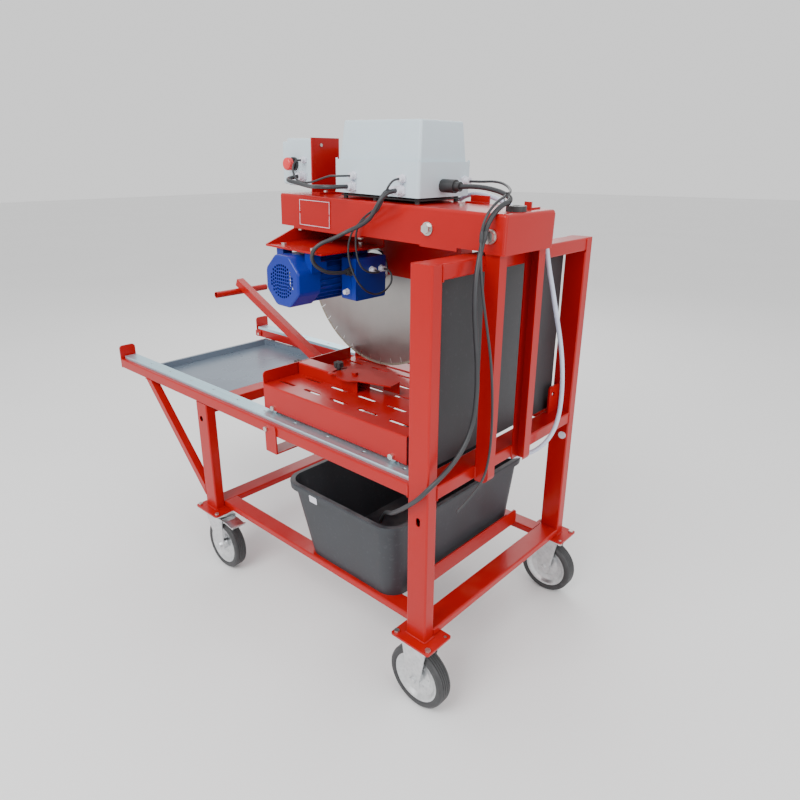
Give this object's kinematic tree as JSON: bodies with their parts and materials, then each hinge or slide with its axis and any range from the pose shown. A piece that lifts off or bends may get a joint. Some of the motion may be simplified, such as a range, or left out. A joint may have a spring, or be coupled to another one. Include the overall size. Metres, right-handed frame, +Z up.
{
  "type": "block and tile saw",
  "caption": "Wheeled bench saw with a diamond blade on a pivoting arm, sliding slotted cart on rails, catch tub, drip tray and electric motor.",
  "frame": {"origin": "floor level, centre of the footprint", "axes": "+Z up, +X towards the motor side, -Y towards the operator end"},
  "size_m": [0.864, 1.828, 1.6627],
  "materials": {
    "red_paint": "smooth red powder coat",
    "zinc": "bright zinc plated steel",
    "rail_zinc": "galvanised flat bar",
    "bolts": "zinc plated fasteners",
    "tray_steel": "slate grey coated sheet",
    "black_tub": "black mortar tub plastic",
    "black_rubber": "matt black rubber",
    "tyre": "black rubber tread",
    "blue_paint": "blue enamel",
    "steel_blade": "ground steel disc",
    "grey_plastic": "light grey enclosure plastic",
    "white_plastic": "white polyamide",
    "black_plastic": "black moulded plastic",
    "red_plastic": "red button plastic",
    "cable_pvc": "black cable sheath",
    "hose_pvc": "milky clear hose",
    "plate_print": "plain red plate"
  },
  "bodies": {
    "frame": {"rear_legs": "red_paint", "leg_plug": "white_plastic", "front_legs": "red_paint", "guide_rails": "rail_zinc", "rail_stops": "red_paint", "rail_beams": "red_paint", "crossbeams": "red_paint", "low_side_beams": "red_paint", "diagonal_struts": "red_paint", "frame_brackets": "red_paint", "tray": "tray_steel", "tub": "black_tub", "curtain": "black_rubber", "lock_plates": "red_paint", "pivot_posts": "red_paint", "pivot_bolt": "bolts", "foot_plates": "red_paint", "caster_brackets": "zinc", "frame_bolts": "bolts", "pump_cable": "cable_pvc", "pump_hose": "hose_pvc"},
    "fork_near": {"front_fork_near": "zinc"},
    "fork_far": {"front_fork_far": "zinc"},
    "pedal_near": {"brake_pedal_near": "zinc"},
    "pedal_far": {"brake_pedal_far": "zinc"},
    "wheel_front_near": {"rim_front_near": "zinc", "tyre_front_near": "tyre"},
    "wheel_front_far": {"rim_front_far": "zinc", "tyre_front_far": "tyre"},
    "wheel_rear_near": {"rim_rear_near": "zinc", "tyre_rear_near": "tyre"},
    "wheel_rear_far": {"rim_rear_far": "zinc", "tyre_rear_far": "tyre"},
    "cart": {"cart_table": "red_paint", "roller_bolts": "bolts", "fence": "red_paint", "push_handle": "red_paint"},
    "front_roller_pair": {"rollers_front": "zinc"},
    "rear_roller_pair": {"rollers_rear": "zinc"},
    "fence_knob_body": {"fence_knob": "black_plastic"},
    "stop_knob_body": {"stop_knob": "black_plastic"},
    "swivel_stop_body": {"swivel_stop": "red_paint"},
    "head": {"arm": "red_paint", "arm_brackets": "red_paint", "head_bolts": "bolts", "nameplate": "plate_print", "motor_body": "blue_paint", "fan_cowl": "blue_paint", "terminal_box": "blue_paint", "blade_guard": "red_paint", "enclosure_base": "grey_plastic", "enclosure_lid": "grey_plastic", "control_box": "grey_plastic", "glands": "white_plastic", "black_fittings": "black_plastic", "head_cables": "cable_pvc", "head_hose": "hose_pvc"},
    "estop": {"estop_button": "red_plastic"},
    "blade_group": {"blade": "steel_blade", "blade_spindle": "zinc"}
  },
  "joints": [
    {"name": "cart_travel", "type": "slide", "parent": "frame", "child": "cart", "axis": [0, 1, 0], "range_m": [-0.985, 0.035]},
    {"name": "front_rollers_turn", "type": "hinge", "parent": "cart", "child": "front_roller_pair", "pos_m": [0, 0.132, 0.7645], "axis": [1, 0, 0], "continuous": true},
    {"name": "rear_rollers_turn", "type": "hinge", "parent": "cart", "child": "rear_roller_pair", "pos_m": [0, 0.676, 0.7645], "axis": [1, 0, 0], "continuous": true},
    {"name": "fence_knob_turn", "type": "hinge", "parent": "cart", "child": "fence_knob_body", "pos_m": [0.18, 0.082, 0.866], "axis": [0, 1, 0], "continuous": true},
    {"name": "stop_knob_turn", "type": "hinge", "parent": "cart", "child": "stop_knob_body", "pos_m": [0.17, 0.267, 0.89], "axis": [0, 0, 1], "continuous": true},
    {"name": "stop_swivel", "type": "hinge", "parent": "cart", "child": "swivel_stop_body", "pos_m": [0.17, 0.345, 0.886], "axis": [0, 0, 1], "range_deg": [-20, 20]},
    {"name": "arm_raise", "type": "hinge", "parent": "frame", "child": "head", "pos_m": [0, 0.868, 1.372], "axis": [-1, 0, 0], "range_deg": [0, 8]},
    {"name": "blade_spin", "type": "hinge", "parent": "head", "child": "blade_group", "pos_m": [0, 0.21804, 1.20497], "axis": [1, 0, 0], "continuous": true},
    {"name": "estop_press", "type": "slide", "parent": "head", "child": "estop", "axis": [-1, 0, 0], "range_m": [0, 0.005], "stiffness_N_per_m": 400},
    {"name": "swivel_near", "type": "hinge", "parent": "frame", "child": "fork_near", "pos_m": [0.377, -0.255, 0.2], "axis": [0, 0, 1], "continuous": true},
    {"name": "brake_near", "type": "hinge", "parent": "fork_near", "child": "pedal_near", "pos_m": [0.377, -0.193, 0.207], "axis": [1, 0, 0], "range_deg": [-12, 0]},
    {"name": "front_wheel_near", "type": "hinge", "parent": "fork_near", "child": "wheel_front_near", "pos_m": [0.377, -0.205, 0.1], "axis": [1, 0, 0], "continuous": true},
    {"name": "rear_wheel_near", "type": "hinge", "parent": "frame", "child": "wheel_rear_near", "pos_m": [0.377, 0.817, 0.1], "axis": [1, 0, 0], "continuous": true},
    {"name": "swivel_far", "type": "hinge", "parent": "frame", "child": "fork_far", "pos_m": [-0.377, -0.255, 0.2], "axis": [0, 0, 1], "continuous": true},
    {"name": "brake_far", "type": "hinge", "parent": "fork_far", "child": "pedal_far", "pos_m": [-0.377, -0.193, 0.207], "axis": [1, 0, 0], "range_deg": [-12, 0]},
    {"name": "front_wheel_far", "type": "hinge", "parent": "fork_far", "child": "wheel_front_far", "pos_m": [-0.377, -0.205, 0.1], "axis": [1, 0, 0], "continuous": true},
    {"name": "rear_wheel_far", "type": "hinge", "parent": "frame", "child": "wheel_rear_far", "pos_m": [-0.377, 0.817, 0.1], "axis": [1, 0, 0], "continuous": true}
  ],
  "couplings": [
    {"joint": "front_rollers_turn", "follows": "cart_travel", "rad_per_m": -57.143},
    {"joint": "rear_rollers_turn", "follows": "cart_travel", "rad_per_m": -57.143}
  ]
}
